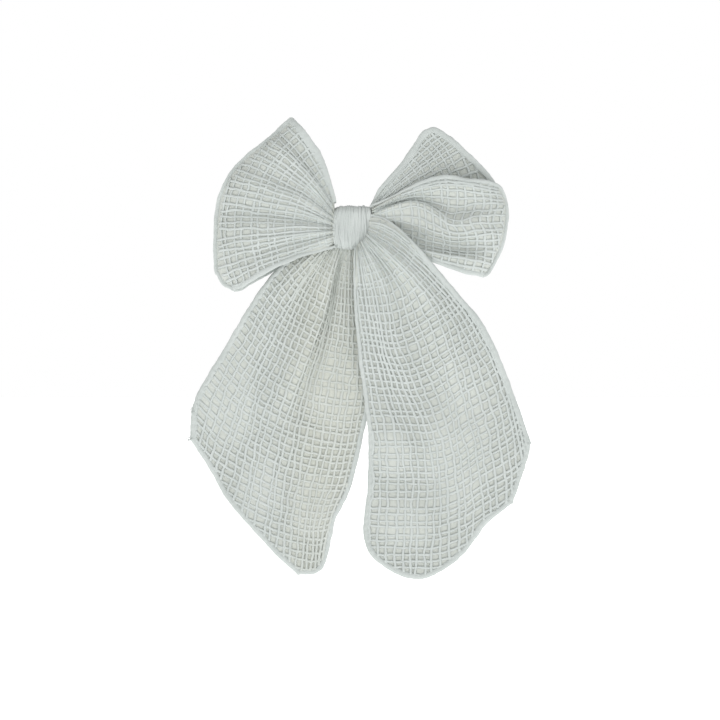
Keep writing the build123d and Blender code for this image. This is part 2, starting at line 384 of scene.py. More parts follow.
def metal(name, colour, rough, streak=(1.0, 60.0, 60.0)):
    """Plated steel with fine drawing lines and small wear marks."""
    look = Look(name, rough, metallic=1.0)
    drawn = look.node("Mapping", {"Scale": streak}, {"Vector": look.place})["Vector"]
    lines = look.noise(900.0, 2.0, place=drawn)
    wear = look.noise(350.0, 4.0)
    look.colour(look.ramp(wear, (0.35, tuple(0.90 * c for c in colour)), (0.6, colour)))
    roughness = look.node("MapRange", {"To Min": rough * 0.8, "To Max": min(1.0, rough * 1.5)},
                          {"Value": wear})
    look.tree.links.new(roughness["Result"], look.shader["Roughness"])
    look.bump((lines, 0.000012))
    return look.material


net_tones = ((0.575, 0.62, 0.599), (0.625, 0.669, 0.649))
lining_tones = ((0.595, 0.627, 0.582), (0.635, 0.667, 0.622))
net_cotton = cotton("net_cotton", *net_tones, fuzz=0.00007)
inner_net_cotton = cotton("inner_net_cotton", *net_tones, fuzz=0.00007, cream=True)
lining_cotton = voile("lining_voile", *lining_tones)
inner_cotton = voile("inner_voile", *lining_tones, cream=True)
hem_cotton = cotton("hem_cotton", (0.55, 0.594, 0.573), (0.615, 0.657, 0.637), 2600.0, 0.00008)
knot_cotton = cotton("knot_cotton", (0.60, 0.643, 0.624), (0.665, 0.705, 0.684), 2800.0, 0.0001)
thread_cotton = cotton("sewing_thread", (0.72, 0.75, 0.73), (0.80, 0.82, 0.80), 5000.0, 0.00003, 0.4)
felt_wool = cotton("felt", (0.70, 0.71, 0.67), (0.78, 0.785, 0.75), 1500.0, 0.0002, 0.5)
ribbon_weave = voile("ribbon", (0.72, 0.745, 0.72), (0.79, 0.81, 0.785), 0.0007)
clip_metal = metal("clip_steel", (0.50, 0.51, 0.53), 0.30)
pin_metal = metal("pin_steel", (0.56, 0.57, 0.58), 0.20)
spring_metal = metal("spring_steel", (0.42, 0.43, 0.45), 0.30)
grip_silicone = cotton("grip_silicone", (0.74, 0.76, 0.75), (0.80, 0.81, 0.80), 700.0, 0.00004, 0.1)


# ---------------------------------------------------------------- cloth panels
class Cloth:
    """A shaped piece of cloth: guide lines run along its threads from the knot outwards.

    guides: (share across the cloth 0 to 1, lift towards the back in mm, [(x, z), ...], length taken up in
    the gathers in mm).
    Between guides the cloth is interpolated, at equal lengths along them, because cloth doesn't stretch.
    reach: length of the guides in mm. fold_span: lengths where the guides' lift is reached, starts to fade
    and is gone. contacts: ellipses (x, z, half width, half height) where the lining touches the net.
    closeness: how near the lining lies elsewhere, 0 to 1.
    """

    table_step = 0.5

    def __init__(self, guides, runs, base_depth, reach, fold_span, pleats, pleat_depth, seed, contacts=(),
                 closeness=0.38):
        self.seed = seed
        self.reach = reach
        self.base_depth = base_depth
        self.fold_span = fold_span
        self.pleats = pleats
        self.pleat_depth = pleat_depth
        self.contacts = contacts
        self.closeness = closeness
        self.outline = outline_path(runs)
        self.shares = np.array([g[0] for g in guides])
        taken_up = [g[3] if len(g) > 3 else 0.0 for g in guides]
        rows = int(reach / self.table_step) + 2
        along = np.arange(rows) * self.table_step
        table = []
        for guide, extra in zip(guides, taken_up):
            path = smooth_curve(guide[2], step=0.25)
            length = lengths_along(path)
            reached = along + extra * smoothstep(0.0, 34.0, along)
            x = np.interp(reached, length, path[:, 0])
            z = np.interp(reached, length, path[:, 1])
            past = np.maximum(reached - length[-1], 0.0)[:, None]
            place = columns(x, z) + past * unit(path[-1] - path[-6])
            table.append(columns(place[:, 0], place[:, 1], guide[1]))
        self.table = np.stack(table)

    def across(self, values, v):
        """Smooth interpolation between guides. values is indexed by guide first, then by the points of v."""
        s = self.shares
        k = np.clip(np.searchsorted(s, v, side="right") - 1, 0, len(s) - 2)
        below = np.maximum(k - 1, 0)
        above = np.minimum(k + 2, len(s) - 1)
        here = np.arange(len(v))
        p0, p1, p2, p3 = (values[i, here] for i in (below, k, k + 1, above))
        width = (s[k + 1] - s[k])[:, None]
        t = (v - s[k])[:, None] / width
        m1 = (p2 - p0) / (s[k + 1] - s[below])[:, None] * width
        m2 = (p3 - p1) / (s[above] - s[k])[:, None] * width
        return ((2 * t**3 - 3 * t**2 + 1) * p1 + (t**3 - 2 * t**2 + t) * m1
                + (3 * t**2 - 2 * t**3) * p2 + (t**3 - t**2) * m2)

    def at(self, v, s):
        """Points (x, y, z) of the cloth's face at shares v and lengths s."""
        v = np.asarray(v, float).ravel()
        s = np.asarray(s, float).ravel()
        near_knot = np.exp(-s / 16.0)
        turn = 2 * np.pi * self.pleats
        bunched = v + 0.35 / turn * np.sin(turn * v + self.seed) * near_knot
        bunched = np.clip(bunched, -0.02, 1.02)
        row = np.clip(s / self.table_step, 0, self.table.shape[1] - 1.001)
        low = row.astype(int)
        t = (row - low)[None, :, None]
        x, z, lift = self.across(self.table[:, low] * (1 - t) + self.table[:, low + 1] * t, bunched).T
        rise_end, fade_start, fade_end = self.fold_span
        fold = smoothstep(0.0, rise_end, s) * (1.0 - smoothstep(fade_start, fade_end, s))
        y = self.base_depth(x, z) + lift * fold
        ripple = np.sin(turn * v + self.seed) + 0.5 * np.sin(2.55 * turn * v)
        y += self.pleat_depth * ripple * (near_knot + 0.12)
        y += 0.5 * wander_2d(x, z, self.seed + 40, 14.0)
        return columns(x, y, z)

    def frame_at(self, v, s):
        """Points and unit normals, which face the front."""
        step_v = 0.004
        step_s = 0.4
        here = self.at(v, s)
        along_v = self.at(np.asarray(v) + step_v, s) - self.at(np.asarray(v) - step_v, s)
        along_s = self.at(v, np.asarray(s) + step_s) - self.at(v, np.maximum(np.asarray(s) - step_s, 0.0))
        normal = unit(np.cross(along_v, along_s))
        return here, np.where(normal[:, 1:2] > 0, -normal, normal)

    def contact(self, x, z):
        """Where the lining lies against the net (1) and where it hangs clear of it (0)."""
        amount = self.closeness + 0.30 * wander_2d(x, z, self.seed + 11, 16.0)
        for cx, cz, rx, rz in self.contacts:
            amount += 0.80 * (1.0 - smoothstep(0.45, 1.15, np.hypot((x - cx) / rx, (z - cz) / rz)))
        return np.clip(amount, 0.0, 0.9)


def thread_places(cloth, threads, row_pitch, seed):
    """Shares of the lengthwise threads and lengths of the cross rows, both uneven."""
    draw = np.random.default_rng(seed)
    pitches = []
    while sum(pitches) < cloth.reach:
        tight = 0.72 if len(pitches) % 2 else 1.22
        pitches.append(row_pitch * (0.5 + 0.5 * tight) * draw.uniform(0.75, 1.25))
    shares = (np.arange(threads) + 0.5 + draw.uniform(-0.18, 0.18, threads)) / threads
    return shares, np.cumsum(pitches)


def hair(bundle, root, outward, draw, length=1.3, width=0.045):
    """A loose fibre standing off a thread."""
    heading = unit(draw.normal(size=3) + 0.4 * outward)
    curl = 0.9 * draw.normal(size=3)
    t = np.linspace(0.0, 1.0, 5)[:, None]
    reach = length * draw.uniform(0.5, 1.2)
    path = root + 0.15 * outward + reach * (heading * t + 0.35 * curl * t * t)
    taper = width * (1.0 - 0.6 * t[:, 0])
    bundle.add(path, outward, taper, taper)


def weave(cloth, bundle, threads, row_pitch, side, offset, seed, widths):
    """Adds a net of lengthwise and cross threads to a bundle, cut to the cloth's outline.

    side is 1 for a net on the cloth's front and -1 for one on its back, offset its distance from the face.
    """
    draw = np.random.default_rng(seed + 1)
    shares, rows = thread_places(cloth, threads, row_pitch, seed)
    row_at = np.concatenate([[0.0], rows])
    row_number = np.arange(len(row_at))
    lift = 0.05                 # a thread rises and dips by this much over its neighbours
    above = 0.035               # lengthwise threads lie this much above the face, cross threads below
    inset = 1.25                # threads stop this far inside the outline, under the hem

    def lay(v, s, over, width, thickness):
        points, normal = cloth.frame_at(v, s)
        inside = depth_inside(cloth.outline, points[:, 0], points[:, 2])
        tucked = offset * (0.45 + 0.55 * smoothstep(1.0, 7.0, inside))      # nearer at the hem
        points = points + side * normal * (over + tucked)[:, None]
        keep = depth_inside(cloth.outline, points[:, 0], points[:, 2]) > inset
        edges = np.flatnonzero(np.diff(np.concatenate([[0], keep.astype(int), [0]])))
        for first, last in zip(edges[::2], edges[1::2]):
            if last - first >= 4:
                bundle.add(points[first:last], normal[first:last], width[first:last], thickness[first:last])
                for _ in range((last - first) // 16):
                    pick = draw.integers(first + 1, last - 1)
                    hair(bundle, points[pick], side * normal[pick], draw)

    for index, share in enumerate(shares):
        s = np.arange(0.0, cloth.reach, 0.7)
        sway = 0.22 * wander(s, seed + index * 7, 8.0) + 0.12 * wander(s, seed + index * 7 + 3, 2.4)
        v = share + sway / threads
        phase = np.interp(s, row_at, row_number)
        over = above + lift * np.cos(np.pi * (phase + index))
        uneven = 0.20 * wander(s, seed + 500 + index, 1.8) + 0.12 * draw.uniform(-1, 1)
        width = widths[0] * (1.0 + uneven) * (1.0 - 0.45 * np.exp(-s / 12.0))
        lay(v, s, over, width, 0.34 * width)
    for index, start in enumerate(rows[:-1]):
        v = np.linspace(0.0, 1.0, 5 * threads)
        place = v * threads * 2.3
        s = start + 0.35 * wander(place, seed + 900 + index, 9.0)
        s = s + 0.26 * wander(place, seed + 1700 + index, 2.3)
        over = -above - lift * np.cos(np.pi * (v * threads - 0.5 + index + 1))
        uneven = 0.22 * wander(place, seed + 2500 + index, 1.8) + 0.15 * draw.uniform(-1, 1)
        width = widths[1] * (1.0 + uneven)
        lay(v, np.maximum(s, 0.0), over, width, 0.36 * width)


def net_piece(cloth, name, threads, row_pitch, sides, seed, widths):
    """A net on one side or both sides of a cloth, as one object."""
    bundle = Bundle(6)
    for number, (side, offset) in enumerate(sides):
        weave(cloth, bundle, threads, row_pitch, side, offset, seed + number * 5000, widths)
    return bundle.make(name, inner_net_cotton if "left_tail" in name else net_cotton)


def lining_piece(cloth, name, material, threads, row_pitch, seed, behind):
    """The plain lining behind the net: a thin closed sheet that swells a little through the net's holes."""
    shares, rows = thread_places(cloth, threads, row_pitch, seed)
    v = np.linspace(0.0, 1.0, 4 * threads)
    s = np.arange(0.0, cloth.reach, row_pitch / 4)
    vv, ss = pairs(v, s)
    points, normal = cloth.frame_at(vv, ss)
    contact = cloth.contact(points[:, 0], points[:, 2])
    column = np.interp(vv, shares, np.arange(len(shares)))
    row = np.interp(ss, rows, np.arange(len(rows)))
    swell = (np.abs(np.sin(np.pi * column)) * np.abs(np.sin(np.pi * row))) ** 0.7
    spread = smoothstep(4.0, 26.0, ss)
    inset = 0.7                 # the lining stops this far inside the outline
    packed = 0.13               # gap behind the net where its threads are gathered close
    loose = 0.08 + 0.25 * (1.0 - contact) - 0.13 * contact * swell
    gap = packed + loose * spread + behind
    points = points - normal * gap[:, None]
    keep = depth_inside(cloth.outline, points[:, 0], points[:, 2]) > inset - 0.45
    faces = grid_faces(len(s), len(v))
    faces = faces[keep[faces].all(axis=1)]
    used, index = np.unique(faces, return_inverse=True)
    points = points[used]
    points[:, 0], points[:, 2] = pull_inside(cloth.outline, points[:, 0].copy(), points[:, 2].copy(), inset)
    obj = make_object(name, points, index.reshape(faces.shape), material)
    solid = obj.modifiers.new("thickness", "SOLIDIFY")
    solid.thickness = 0.14 * MM
    solid.offset = 0.0
    return obj


def edge_depth(cloth, x, z):
    """The cloth's depth at its edge, taken from the nearest points of its face."""
    face = cloth.at(*pairs(np.linspace(0.0, 1.0, 90), np.arange(0.0, cloth.reach, 1.0)))
    depth = []
    for px, pz in zip(x, z):
        gap = (face[:, 0] - px) ** 2 + (face[:, 2] - pz) ** 2
        near = np.argsort(gap)[:6]
        weight = 1.0 / (gap[near] + 0.05)
        depth.append((face[near, 1] * weight).sum() / weight.sum())
    return np.array(depth)


def hem_piece(cloth, name, runs, widths, thickness, behind, material, seed):
    """The turned edge along part of the outline: a soft flat roll with the marks of the threads in it."""
    bundle = Bundle(12)
    step = 0.55
    for number, (run, run_widths) in enumerate(zip(runs, widths)):
        path = smooth_curve(run, step)
        width = np.interp(np.linspace(0.0, 1.0, len(path)), np.linspace(0.0, 1.0, len(run_widths)),
                          run_widths)
        ahead = unit(np.gradient(path, axis=0))
        inward = columns(-ahead[:, 1], ahead[:, 0])
        probe = path[len(path) // 2] + inward[len(path) // 2]
        if depth_inside(cloth.outline, probe[0], probe[1])[0] < 0:
            inward = -inward
        length = np.arange(len(path)) * step
        wobble = 0.16 * wander(length, seed + number, 5.0) + 0.10 * wander(length, seed + 60 + number, 1.6)
        from_knot = np.hypot(path[:, 0], path[:, 1])
        breadth = width * (0.45 + 0.55 * smoothstep(6.0, 34.0, from_knot))
        centre = path + inward * (breadth / 2 - 0.05 + wobble)[:, None]
        depth = edge_depth(cloth, centre[:, 0], centre[:, 1])
        depth = np.convolve(np.pad(depth, 2, mode="edge"), np.ones(5) / 5, mode="valid")
        points = columns(centre[:, 0], depth + behind, centre[:, 1])
        marks = 0.10 * np.sin(2 * np.pi * length / 2.3) + 0.12 * wander(length, seed + 90 + number, 1.1)
        bundle.add(points, FRONT, breadth * (1.0 + 0.14 * wander(length, seed + 30 + number, 3.0)),
                   thickness * breadth / width * (1.0 + marks))
    return bundle.make(name, material)


# ---------------------------------------------------------------- shapes of the loops and tails
left_loop_runs = [
    [(-6.0, 8.5), (-9.6, 21.5), (-14.5, 29.5), (-19.4, 35.6), (-21.0, 36.6), (-22.6, 35.6), (-28.6, 29.9),
     (-39.7, 20.6), (-46.0, 7.8), (-46.8, -12.2), (-45.7, -16.0), (-43.6, -19.2), (-40.2, -20.9)],
    [(-40.2, -20.9), (-37.2, -20.2), (-34.3, -18.4), (-20.1, -10.9), (-6.0, -6.7)],
    [(-6.0, -6.7), (-6.0, 8.5)],
]
right_front_runs = [
    [(5.0, 7.0), (12.9, 10.8), (23.1, 15.9), (30.8, 17.2), (37.6, 15.9), (44.5, 15.4), (49.2, 13.2),
     (51.4, 5.4), (49.6, -5.8), (45.2, -15.0), (42.6, -16.6)],
    [(42.6, -16.6), (34.2, -14.7), (18.0, -8.5), (5.0, -5.0)],
    [(5.0, -5.0), (5.0, 7.0)],
]
right_back_runs = [
    [(5.0, 7.4), (8.7, 13.8), (15.5, 21.8), (20.6, 29.6), (24.2, 33.1), (28.4, 33.0), (36.7, 26.5),
     (45.7, 17.2), (51.2, 6.1), (49.0, -7.0), (41.0, -13.0)],
    [(41.0, -13.0), (18.0, -8.0), (5.0, -5.0)],
    [(5.0, -5.0), (5.0, 7.4)],
]
left_fold = [(-20.7, 36.9), (-28.6, 29.9), (-39.7, 20.6), (-46.0, 7.8), (-46.8, -12.2), (-45.7, -16.0),
             (-42.0, -20.6)]
right_front_fold = [(48.7, 14.2), (51.4, 5.4), (49.6, -5.8), (43.5, -16.6)]
right_back_fold = right_back_runs[0][5:]
left_tail_runs = [
    [(-6.0, 1.0), (-16.0, -6.0), (-26.9, -14.5), (-35.4, -26.3), (-44.7, -41.6), (-53.6, -57.0),
     (-55.3, -70.5)],
    [(-55.3, -70.5), (-49.0, -80.5), (-42.2, -92.1), (-28.6, -107.4), (-19.0, -116.6)],
    [(-19.0, -116.6), (-10.7, -114.0), (-6.5, -98.0), (-1.4, -87.0), (2.9, -69.1), (6.5, -50.0),
     (5.0, -28.0), (1.5, -6.0)],
    [(1.5, -6.0), (-6.0, 1.0)],
]
right_tail_runs = [
    [(5.0, 4.6), (10.8, 2.7), (17.2, -2.4), (26.1, -12.0), (35.4, -22.9), (43.5, -33.1), (50.3, -47.5),
     (59.2, -71.8)],
    [(59.2, -71.8), (57.0, -80.2), (52.8, -92.1)],
    [(52.8, -92.1), (44.3, -98.9), (35.8, -109.7), (22.6, -117.3), (9.9, -113.3), (3.3, -104.0),
     (4.4, -85.3), (4.5, -67.7), (1.4, -42.8), (-0.3, -21.6), (0.0, -6.5)],
    [(0.0, -6.5), (5.0, 4.6)],
]

# depth of a loop's face along X, and the line where its two panels meet
loop_middle = -12.0
left_front_line = [(-47.2, -13.4), (-42.0, -17.2), (-31.0, -19.2), (-18.0, -17.4), (-6.0, -15.9)]
left_back_line = [(-47.2, -10.6), (-36.0, -9.7), (-20.0, -9.9), (-6.0, -10.8)]
right_front_line = [(5.0, -15.6), (20.0, -14.8), (37.0, -18.2), (48.0, -16.2), (51.6, -13.2)]
right_back_line = [(5.0, -12.8), (22.0, -10.4), (40.0, -9.6), (51.6, -10.4)]


def loop_depth(line, fold_run):
    """Depth of a loop's panel, which closes in a round fold along its outer end."""
    curve = smooth_curve(line, step=0.5)
    fold_line = smooth_curve(fold_run, step=2.0)
    round_off = 9.0             # the fold's rounding reaches this far in from the outer end

    def depth(x, z):
        away = np.clip(distance_to_line(fold_line, x, z) / round_off, 0.0, 1.0)
        full = np.sqrt(np.maximum(1.0 - (1.0 - away) ** 2, 0.0))
        target = np.interp(x, curve[:, 0], curve[:, 1])
        return loop_middle + (target - loop_middle) * (0.08 + 0.92 * full)

    return depth


def tail_depth(drape):
    """Depth of a tail's face down its length."""
    curve = smooth_curve(drape, step=1.0)[::-1]
    return lambda x, z: np.interp(z, curve[:, 1], curve[:, 0])


left_loop_guides = [
    (0.00, 0.0, [(-5.5, 7.0), (-6.2, 13.0), (-9.6, 21.5), (-14.5, 29.5), (-20.7, 37.3), (-26.0, 43.0)]),
    (0.08, 0.6, [(-5.8, 5.5), (-10.0, 13.5), (-15.0, 21.0), (-20.5, 28.0), (-26.0, 34.5), (-32.0, 41.0)]),
    (0.18, -0.5, [(-6.0, 4.3), (-12.0, 13.0), (-18.0, 19.5), (-24.5, 25.0), (-31.0, 30.0), (-37.0, 35.0)]),
    (0.32, 0.5, [(-6.2, 3.0), (-14.5, 10.6), (-22.0, 15.2), (-29.0, 18.8), (-36.0, 22.2), (-43.0, 26.0)]),
    (0.45, -0.4, [(-6.3, 1.6), (-17.0, 7.8), (-26.0, 10.8), (-34.0, 13.2), (-42.0, 15.6), (-50.0, 18.0)]),
    (0.585, 0.7, [(-6.4, 0.4), (-18.0, 3.2), (-28.0, 4.6), (-37.5, 5.6), (-46.0, 6.4), (-54.0, 7.0)]),
    (0.715, -0.5, [(-6.4, -0.8), (-18.0, -1.0), (-28.0, -1.6), (-38.0, -2.0), (-47.0, -2.4), (-55.0, -2.8)]),
    (0.86, 0.6, [(-6.3, -2.2), (-17.0, -4.8), (-28.0, -7.8), (-38.0, -10.6), (-46.0, -12.8), (-54.0, -15.0)]),
    (1.00, 0.0, [(-6.2, -4.6), (-12.0, -8.2), (-20.1, -11.0), (-27.5, -14.4), (-34.5, -18.4), (-41.0, -21.5),
                 (-49.0, -25.5)]),
]
right_front_guides = [
    (0.00, -0.8, [(5.4, 6.6), (12.9, 10.8), (20.0, 14.4), (27.0, 16.9), (33.0, 17.1), (39.0, 15.8),
                  (48.7, 14.2), (57.0, 13.5)]),
    (0.16, -0.6, [(5.6, 5.6), (13.0, 9.4), (20.0, 12.0), (28.0, 13.2), (36.0, 12.8), (46.0, 11.6),
                  (56.0, 10.8)]),
    (0.32, 1.6, [(5.7, 4.8), (13.0, 7.9), (19.5, 9.2), (26.0, 8.0), (33.0, 6.2), (42.0, 7.0), (54.0, 7.2)]),
    (0.42, -0.9, [(5.8, 4.2), (12.5, 6.9), (18.9, 8.4), (24.0, 7.2), (28.0, 4.4), (32.5, 1.6), (40.0, 2.6),
                  (54.0, 3.6)]),
    (0.56, -0.6, [(5.9, 2.0), (13.0, 2.9), (20.0, 2.2), (26.0, -0.4), (32.0, -2.6), (41.0, -2.2),
                  (54.0, -1.0)]),
    (0.70, 2.2, [(5.9, -0.4), (13.0, -1.2), (20.0, -3.2), (27.0, -5.2), (34.0, -6.4), (43.0, -6.4),
                 (54.0, -6.0)]),
    (0.84, -0.6, [(5.8, -2.4), (13.0, -4.4), (20.0, -6.8), (28.0, -8.8), (36.0, -10.2), (45.0, -11.4),
                  (54.0, -12.4)]),
    (1.00, 0.2, [(5.6, -4.6), (18.0, -8.7), (26.1, -12.0), (34.2, -14.9), (43.5, -16.9), (52.0, -19.0)]),
]
right_back_guides = [
    (0.00, -1.6, [(5.2, 7.0), (8.7, 13.8), (15.5, 21.8), (21.4, 30.3), (27.6, 34.0), (33.0, 38.0)]),
    (0.15, -1.4, [(5.6, 6.4), (12.6, 14.6), (19.5, 22.0), (25.5, 27.6), (31.5, 32.0), (38.0, 37.0)]),
    (0.30, -2.3, [(5.7, 5.8), (15.0, 14.4), (23.0, 20.6), (29.5, 25.4), (36.0, 29.6), (43.0, 34.0)]),
    (0.45, -1.8, [(5.8, 5.0), (17.0, 13.0), (26.0, 17.8), (33.5, 21.8), (41.0, 25.6), (48.0, 29.0)]),
    (0.60, -0.7, [(5.9, 4.0), (18.0, 10.4), (28.0, 13.4), (37.0, 16.4), (46.0, 19.4), (54.0, 22.0)]),
    (0.74, 0.0, [(5.9, 1.6), (18.0, 4.0), (30.0, 5.8), (42.0, 7.4), (54.0, 9.0)]),
    (0.88, 0.0, [(5.9, -1.4), (18.0, -3.0), (30.0, -4.4), (42.0, -5.4), (54.0, -6.4)]),
    (1.00, 0.0, [(5.7, -4.6), (18.0, -8.2), (30.0, -10.8), (41.0, -13.2), (52.0, -15.5)]),
]
tail_levels = (-15.6, -27.7, -39.8, -52.7, -67.8, -82.9, -98.0)
left_tail_guides = [
    (0.00, 0.3, [(-5.5, 0.5), (-16.0, -6.2), (-26.9, -14.5), (-35.4, -26.3), (-44.7, -41.6), (-53.0, -55.5),
                 (-55.8, -70.0), (-57.5, -84.0)]),
    (0.15, -0.4, [(-5.2, -1.0), (-16.0, -13.6), (-25.1, -26.2), (-32.6, -40.6), (-39.4, -54.2),
                  (-44.7, -67.8), (-49.3, -80.0), (-53.8, -93.0)]),
    (0.31, 0.4, [(-4.8, -2.4), (-12.4, -14.4), (-18.3, -26.2), (-24.3, -39.8), (-30.4, -52.7), (-34.9, -67.8),
                 (-38.7, -82.9), (-42.5, -99.0)]),
    (0.47, -2.0, [(-4.0, -4.0), *zip((-7.2, -10.2, -14.6, -20.0, -25.0, -28.4, -31.0), tail_levels),
                  (-32.6, -114.0)]),
    (0.56, 1.7, [(-3.0, -5.0), *zip((-6.4, -8.8, -12.4, -16.6, -20.2, -23.4, -25.6), tail_levels),
                 (-27.0, -114.5)]),
    (0.69, 0.8, [(-2.0, -5.6), *zip((-4.4, -6.0, -8.0, -11.0, -13.0, -16.0, -18.3), tail_levels),
                 (-19.8, -116.0)]),
    (0.85, 0.2, [(-1.0, -6.2), *zip((-0.9, -0.6, -0.4, -1.4, -3.8, -7.0, -11.4), tail_levels),
                 (-13.6, -116.0)]),
    (1.00, 0.0, [(0.2, -6.6), (3.4, -15.6), (5.0, -28.0), (6.2, -40.0), (6.3, -50.0), (3.0, -69.0),
                 (-1.4, -86.0), (-6.4, -98.0), (-9.2, -108.0), (-11.0, -121.0)]),
]
right_tail_guides = [
    (0.00, 0.0, [(0.2, -5.8), (-0.6, -22.0), (1.0, -38.0), (2.4, -53.0), (4.2, -68.0), (4.2, -83.0),
                 (3.6, -98.0), (3.4, -110.0), (5.0, -123.0)], 0.0),
    (0.19, 0.5, [(1.2, -5.4), (4.6, -22.5), (7.2, -37.6), (11.0, -52.7), (15.2, -67.8), (16.8, -82.9),
                 (16.4, -98.0), (16.2, -114.7), (16.4, -126.0)], 2.0),
    (0.38, -0.5, [(2.4, -4.6), (10.0, -18.7), (14.0, -37.6), (19.6, -52.7), (25.4, -67.8), (27.9, -82.9),
                  (28.2, -98.0), (27.6, -116.2), (27.6, -127.0)], 5.5),
    (0.50, 1.3, [(3.2, -3.6), (14.2, -17.8), (20.0, -33.0), (25.6, -47.5), (30.6, -62.5), (34.2, -78.0),
                 (35.6, -93.0), (35.8, -112.0)], 6.5),
    (0.60, -1.4, [(3.8, -2.6), (18.6, -16.8), (27.0, -29.5), (31.8, -43.0), (35.8, -57.5), (39.6, -72.6),
                  (42.0, -87.5), (42.8, -104.0), (43.2, -120.0)], 7.0),
    (0.80, 0.4, [(4.6, -0.6), (14.0, -5.8), (25.6, -16.2), (36.0, -28.0), (43.0, -40.2), (48.4, -53.2),
                 (52.2, -68.0), (54.4, -83.0), (55.4, -100.0)], 9.0),
    (1.00, 0.0, [(5.0, 3.2), *right_tail_runs[0][1:7], (56.2, -62.0), (59.6, -74.0), (62.0, -92.0)], 10.0),
]

left_front = Cloth(left_loop_guides, left_loop_runs, loop_depth(left_front_line, left_fold), reach=58.0,
                   fold_span=(10.0, 34.0, 52.0), pleats=8, pleat_depth=0.36, seed=3)
left_back = Cloth(left_loop_guides, left_loop_runs, loop_depth(left_back_line, left_fold), reach=58.0,
                  fold_span=(10.0, 30.0, 50.0), pleats=5, pleat_depth=0.25, seed=4)
right_front = Cloth(right_front_guides, right_front_runs, loop_depth(right_front_line, right_front_fold),
                    reach=54.0, fold_span=(8.0, 32.0, 44.0), pleats=7, pleat_depth=0.30, seed=5)
right_back = Cloth(right_back_guides, right_back_runs, loop_depth(right_back_line, right_back_fold),
                   reach=56.0, fold_span=(8.0, 30.0, 48.0), pleats=6, pleat_depth=0.30, seed=6)
left_tail = Cloth(left_tail_guides, left_tail_runs,
                  tail_depth([(-13.6, 2.0), (-13.6, -8.0), (-12.0, -20.0), (-9.4, -40.0), (-6.6, -80.0),
                              (-5.4, -120.0)]),
                  reach=126.0, fold_span=(14.0, 42.0, 70.0), pleats=7, pleat_depth=0.26, seed=7,
                  contacts=[(-42, -56, 10, 22), (-32, -87, 9, 13), (-8, -53, 12, 17), (-14, -92, 8, 12)],
                  closeness=0.25)
right_tail = Cloth(right_tail_guides, right_tail_runs,
                   tail_depth([(-16.2, 6.0), (-17.8, -6.0), (-17.4, -14.0), (-15.0, -26.0), (-11.6, -50.0),
                               (-9.4, -84.0), (-8.4, -120.0)]),
                   reach=128.0, fold_span=(12.0, 40.0, 66.0), pleats=7, pleat_depth=0.30, seed=8,
                   contacts=[(34, -73, 13, 25), (17, -99, 11, 9), (12, -75, 8, 9)], closeness=0.25)


# ---------------------------------------------------------------- making the cloth
def declare(piece, body, node):
    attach(piece, body)
    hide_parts(node)


left_net = dict(threads=28, row_pitch=2.6, widths=(0.92, 0.84))
right_net = dict(threads=18, row_pitch=2.75, widths=(0.94, 0.88))
right_back_net = dict(threads=17, row_pitch=2.7, widths=(0.90, 0.82))
tail_net = dict(threads=24, row_pitch=2.45, widths=(0.94, 0.86))

# cloth, its nets as (side, distance from the face), thread sizes, seed
nets = {
    "left_loop_front": (left_front, [(1, 0.0)], left_net, 101),
    "left_loop_back": (left_back, [(-1, 0.2)], left_net, 102),
    "right_loop_front": (right_front, [(1, 0.0)], right_net, 103),
    "right_loop_back": (right_back, [(1, 0.0), (-1, 1.9)], right_back_net, 104),
    "left_tail_front": (left_tail, [(1, 0.0)], tail_net, 105),
    "left_tail_back": (left_tail, [(-1, 2.1)], tail_net, 106),
    "right_tail_front": (right_tail, [(1, 0.0)], tail_net, 107),
    "right_tail_back": (right_tail, [(-1, 2.1)], tail_net, 108),
}
pieces = {}
for node, (cloth, sides, weave_sizes, seed) in nets.items():
    pieces[node] = net_piece(cloth, node + "_net", sides=sides, seed=seed, **weave_sizes)

# cloth, material, extra distance behind the net, thread sizes, seed
linings = {
    "left_loop_front_lining": (left_front, lining_cotton, 0.0, left_net, 101),
    "left_loop_back_lining": (left_back, lining_cotton, -1.0, left_net, 102),
    "right_loop_front_lining": (right_front, lining_cotton, 0.0, right_net, 103),
    "right_loop_back_lining": (right_back, lining_cotton, 0.0, right_back_net, 104),
    "left_tail_lining": (left_tail, inner_cotton, 0.0, tail_net, 105),
    "right_tail_lining": (right_tail, lining_cotton, 0.0, tail_net, 107),
}
for node, (cloth, material, behind, weave_sizes, seed) in linings.items():
    pieces[node] = lining_piece(cloth, node + "_voile", material, weave_sizes["threads"],
                                weave_sizes["row_pitch"], seed, behind)

# cloth, runs of its outline, widths along each run, thickness, distance behind the face
hems = {
    "left_loop_front_hem": (left_front, left_loop_runs[:2], ((2.6, 3.2, 1.7, 1.6, 1.6, 1.6), (1.8,)),
                            0.9, 0.25),
    "left_loop_back_hem": (left_back, left_loop_runs[:2], ((1.8,), (1.8,)), 0.9, 0.0),
    "right_loop_front_hem": (right_front, right_front_runs[:2], ((1.6,), (1.8,)), 0.9, 0.4),
    "right_loop_back_hem": (right_back, right_back_runs[:2], ((2.3, 2.3, 1.9, 1.6), (1.6,)), 0.9, 0.25),
    "left_tail_hem": (left_tail, left_tail_runs[:3], ((1.8, 2.5), (2.1,), (1.9, 1.7)), 1.5, 0.55),
    "right_tail_hem": (right_tail, right_tail_runs[:3], ((2.0,), (2.0,), (2.0, 2.1, 2.1, 1.5, 1.3)),
                       1.5, 0.55),
}
for node, (cloth, runs, widths, thickness, behind) in hems.items():
    pieces[node] = hem_piece(cloth, node + "_roll", runs, widths, thickness, behind, hem_cotton,
                             300 + len(pieces))


for node in list(nets) + list(linings):
    cloth = (nets.get(node) or linings[node])[0]
    declare(pieces[node], "bow", node)
for node in hems:
    declare(pieces[node], "bow", node)


